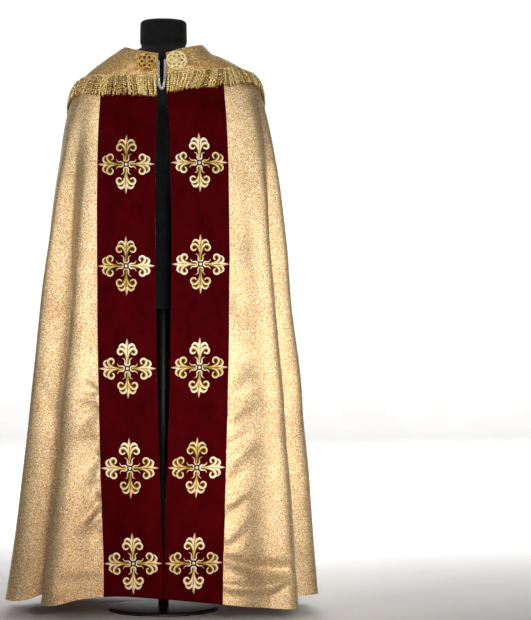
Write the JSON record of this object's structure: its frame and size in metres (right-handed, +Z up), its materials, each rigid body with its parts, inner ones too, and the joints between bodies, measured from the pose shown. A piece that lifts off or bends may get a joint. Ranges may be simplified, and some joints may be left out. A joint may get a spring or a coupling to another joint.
{
  "type": "cope vestment on a limbless dress form",
  "caption": "Gold cope with velvet orphreys, embroidered crosses and a fringed hood, hanging open at the front from a limbless dress form on a round stand.",
  "frame": {"origin": "centre of the underside of the round stand, on the floor", "axes": "+Z up, the open front of the cope faces -Y, +X is to the right of someone who looks at the front"},
  "size_m": [0.8313, 0.5866, 1.588],
  "materials": {
    "gold_cloth": "gold lame, fine glittering grain",
    "velvet": "crimson cotton velvet, short nap",
    "bullion": "twisted gold bullion cord",
    "embroidery": "gold satin stitch",
    "clasp_gold": "cast and polished openwork",
    "chain_metal": "bright wire",
    "form_black": "black stretch cover",
    "stand_black": "satin powder coat"
  },
  "bodies": {
    "root": {"mantle": "gold_cloth", "orphrey_left": "velvet", "orphrey_right": "velvet", "hood_left": "gold_cloth", "hood_right": "gold_cloth", "hood_panel": "velvet", "fringe_left": "bullion", "fringe_right": "bullion", "clasp_left": "clasp_gold", "clasp_right": "clasp_gold", "chain": "chain_metal", "dress_form": "form_black", "stand_pole": "stand_black", "stand_base": "stand_black", "cross_hood": "embroidery", "cross_left_1": "embroidery", "cross_left_2": "embroidery", "cross_left_3": "embroidery", "cross_left_4": "embroidery", "cross_left_5": "embroidery", "cross_right_1": "embroidery", "cross_right_2": "embroidery", "cross_right_3": "embroidery", "cross_right_4": "embroidery", "cross_right_5": "embroidery"}
  },
  "joints": []
}
